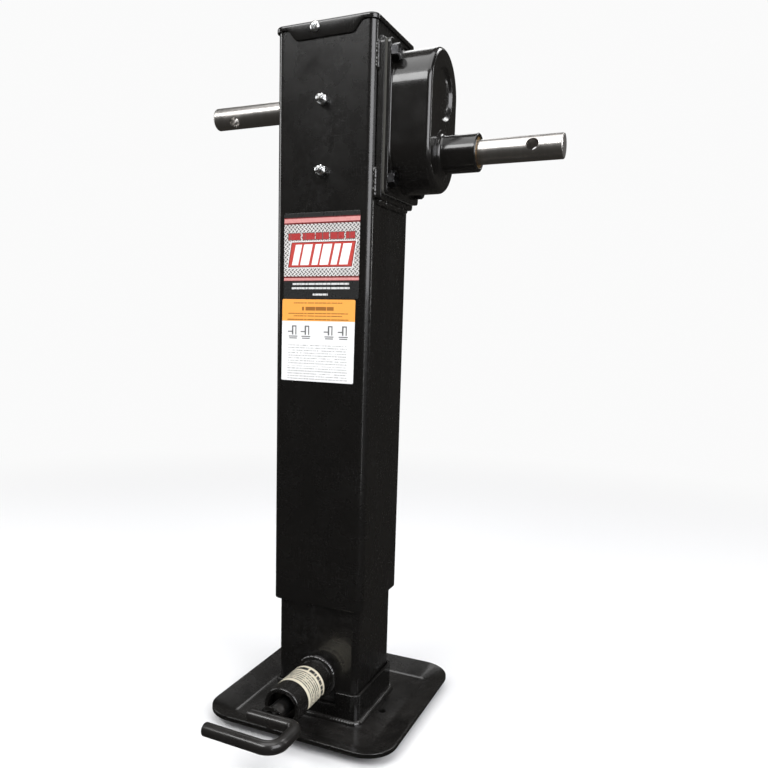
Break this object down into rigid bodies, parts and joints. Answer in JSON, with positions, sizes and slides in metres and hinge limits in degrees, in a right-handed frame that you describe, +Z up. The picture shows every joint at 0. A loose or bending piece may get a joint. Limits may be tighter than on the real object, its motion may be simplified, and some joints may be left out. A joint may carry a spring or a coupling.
{
  "type": "trailer tongue jack",
  "caption": "Square-tube trailer jack with a two-speed side-wind gearbox, a screw-driven ram and a drop leg locked by a spring plunger with a bent handle.",
  "frame": {"origin": "centre of the foot plate's flat underside", "axes": "+Z up along the screw and the tubes; -Y is the front, with the labels, grease nipples and plunger; +X is the gearbox and low-speed shaft side"},
  "size_m": [0.358, 0.302, 0.682],
  "materials": {
    "black_paint": "glossy black powder coat",
    "machined_steel": "satin turned",
    "zinc_plate": "bright zinc plating",
    "dark_steel": "oiled dark steel",
    "bronze": "sintered bronze",
    "gasket": "matte",
    "label_red": "printed film",
    "label_film": "printed film"
  },
  "bodies": {
    "housing": {"outer_tube": "black_paint", "top_cap": "black_paint", "cap_screw": "zinc_plate", "grease_nipple_upper": "zinc_plate", "grease_nipple_lower": "zinc_plate", "gearbox_base_plate": "black_paint", "gearbox_gasket": "gasket", "gearbox_cover": "black_paint", "cover_bolt_1": "dark_steel", "cover_bolt_2": "dark_steel", "cover_bolt_3": "dark_steel", "cover_bolt_4": "dark_steel", "bearing_plate": "dark_steel", "thrust_race_upper": "machined_steel", "thrust_ball_cage": "machined_steel", "upper_label": "label_red", "lower_label": "label_film", "left_hub": "black_paint", "left_bushing": "bronze", "cross_shaft_bushing": "bronze", "cross_shaft_end_bushing": "bronze", "input_hub": "black_paint", "input_bushing": "bronze", "pilot_bushing": "bronze"},
    "low_speed_shaft": {"input_shaft": "machined_steel", "input_pinion": "dark_steel", "input_pinion_pin": "dark_steel"},
    "high_speed_shaft": {"cross_shaft": "machined_steel", "reduction_gear": "dark_steel", "reduction_gear_pin": "dark_steel", "bevel_pinion": "dark_steel", "bevel_pinion_pin": "dark_steel"},
    "screw": {"lead_screw": "machined_steel", "thrust_race_lower": "machined_steel", "bevel_gear": "dark_steel", "bevel_gear_pin": "dark_steel", "stop_collar": "dark_steel", "stop_collar_pin": "dark_steel"},
    "ram": {"ram_tube": "black_paint", "screw_nut": "bronze", "plunger_housing": "black_paint", "spring_seat": "dark_steel", "plunger_spring": "dark_steel", "plunger_label": "label_film"},
    "leg": {"drop_leg": "black_paint", "foot_plate": "black_paint", "foot_collar": "black_paint"},
    "plunger_washer": {"spring_washer": "zinc_plate"},
    "plunger": {"plunger_pin": "dark_steel", "plunger_cross_pin": "dark_steel", "plunger_handle": "black_paint"}
  },
  "joints": [
    {"name": "crank_spin", "type": "hinge", "parent": "housing", "child": "low_speed_shaft", "pos_m": [0.13, 0, 0.566], "axis": [-1, 0, 0], "range_deg": [0, 49500]},
    {"name": "cross_shaft_spin", "type": "hinge", "parent": "housing", "child": "high_speed_shaft", "pos_m": [0, 0, 0.62], "axis": [1, 0, 0], "range_deg": [0, 31500]},
    {"name": "screw_spin", "type": "hinge", "parent": "housing", "child": "screw", "pos_m": [0, 0, 0.4], "axis": [0, 0, 1], "range_deg": [0, 18000]},
    {"name": "ram_slide", "type": "slide", "parent": "housing", "child": "ram", "axis": [0, 0, -1], "range_m": [0, 0.3175]},
    {"name": "drop_leg_slide", "type": "slide", "parent": "ram", "child": "leg", "axis": [0, 0, -1], "range_m": [0, 0.3429]},
    {"name": "plunger_slide", "type": "slide", "parent": "ram", "child": "plunger_washer", "axis": [0, 1, 0], "range_m": [0, 0.018], "deforming": ["plunger_spring"]},
    {"name": "plunger_turn", "type": "hinge", "parent": "plunger_washer", "child": "plunger", "pos_m": [0, -0.1, 0.0465], "axis": [0, 1, 0], "range_deg": [0, 90]}
  ],
  "couplings": [
    {"joint": "crank_spin", "follows": "ram_slide", "rad_per_m": 2721.1},
    {"joint": "cross_shaft_spin", "follows": "ram_slide", "rad_per_m": 1731.6},
    {"joint": "screw_spin", "follows": "ram_slide", "rad_per_m": 989.48}
  ]
}
